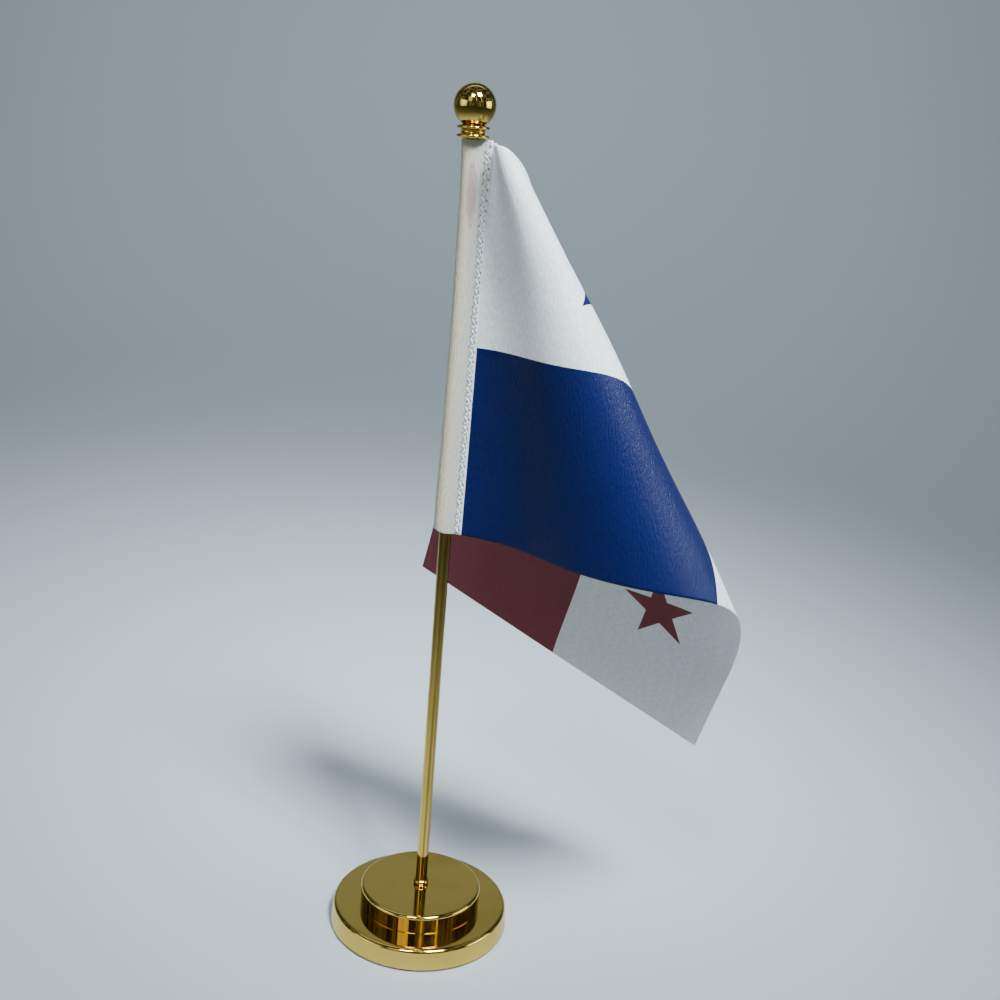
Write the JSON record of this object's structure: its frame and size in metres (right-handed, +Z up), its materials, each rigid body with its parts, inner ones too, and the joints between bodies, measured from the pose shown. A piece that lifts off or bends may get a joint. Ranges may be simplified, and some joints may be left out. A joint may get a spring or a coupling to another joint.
{
  "type": "desk flag stand",
  "caption": "Desk flag on a polished gold-plated pole with a ball finial and a round two-tier weighted base; the satin flag hangs folded from a sewn pocket.",
  "frame": {"origin": "middle of the foam pad's underside, on the pole's axis", "axes": "+Z up along the pole, +X towards the side that the flag flies to, -Y towards the viewer of the flag's front"},
  "size_m": [0.1468, 0.1267, 0.3246],
  "materials": {
    "gold_plating": "mirror polished gold plating",
    "cast_weight": "rough cast",
    "turned_brass": "turned",
    "bright_steel": "zinc plated",
    "foam_pad": "matt foam",
    "flag_satin": "printed satin in four fields",
    "pocket_satin": "white satin",
    "sewing_thread": "glossy polyester thread",
    "adhesive_tape": "double sided tape"
  },
  "bodies": {
    "base": {"base_disc": "gold_plating", "base_pad": "foam_pad", "disc_ballast": "cast_weight", "base_drum": "gold_plating", "drum_weight": "cast_weight", "socket_bush": "turned_brass", "clamp_washer": "bright_steel", "clamp_nut": "bright_steel"},
    "foot": {"foot_bead": "gold_plating"},
    "pole": {"pole_tube": "gold_plating", "foot_plug": "bright_steel", "top_insert": "turned_brass", "tape_strip": "adhesive_tape", "flag_sleeve": "pocket_satin", "seam_stitching": "sewing_thread", "flag_cloth": "flag_satin"},
    "finial": {"finial_neck": "gold_plating", "finial_ball": "gold_plating", "finial_stud": "bright_steel"}
  },
  "joints": [
    {"name": "pole_lift", "type": "slide", "parent": "base", "child": "foot", "axis": [0, 0, 1], "range_m": [0, 0.0118]},
    {"name": "pole_turn", "type": "hinge", "parent": "foot", "child": "pole", "pos_m": [0, 0, 0.0161], "axis": [0, 0, 1], "continuous": true},
    {"name": "finial_lift", "type": "slide", "parent": "pole", "child": "finial", "axis": [0, 0, 1], "range_m": [0, 0.008]}
  ]
}
